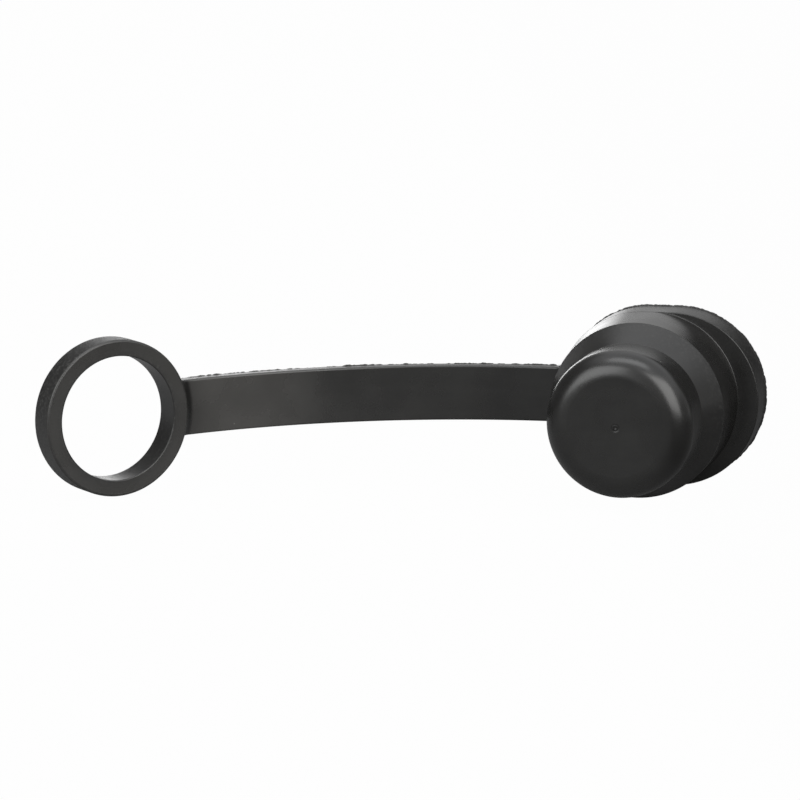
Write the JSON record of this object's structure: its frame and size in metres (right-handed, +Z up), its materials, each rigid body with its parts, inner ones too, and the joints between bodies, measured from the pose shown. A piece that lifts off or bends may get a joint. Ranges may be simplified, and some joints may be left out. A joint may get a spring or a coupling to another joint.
{
  "type": "tethered port dust cap",
  "caption": "Soft tethered port dust cap: hollow stepped plug with rounded nose, conical shoulder and oval flange, joined by a flat bent strap to a retaining ring.",
  "frame": {"origin": "middle of the foot of the bounding box, on the surface that the piece lies on", "axes": "+X from the ring towards the plug, -Y the way the nose points, +Z up as it lies at rest"},
  "size_m": [0.138, 0.0648, 0.037],
  "materials": {
    "moulded_rubber": "satin black, as moulded"
  },
  "bodies": {
    "root": {"dust_cap": "moulded_rubber"}
  },
  "joints": []
}
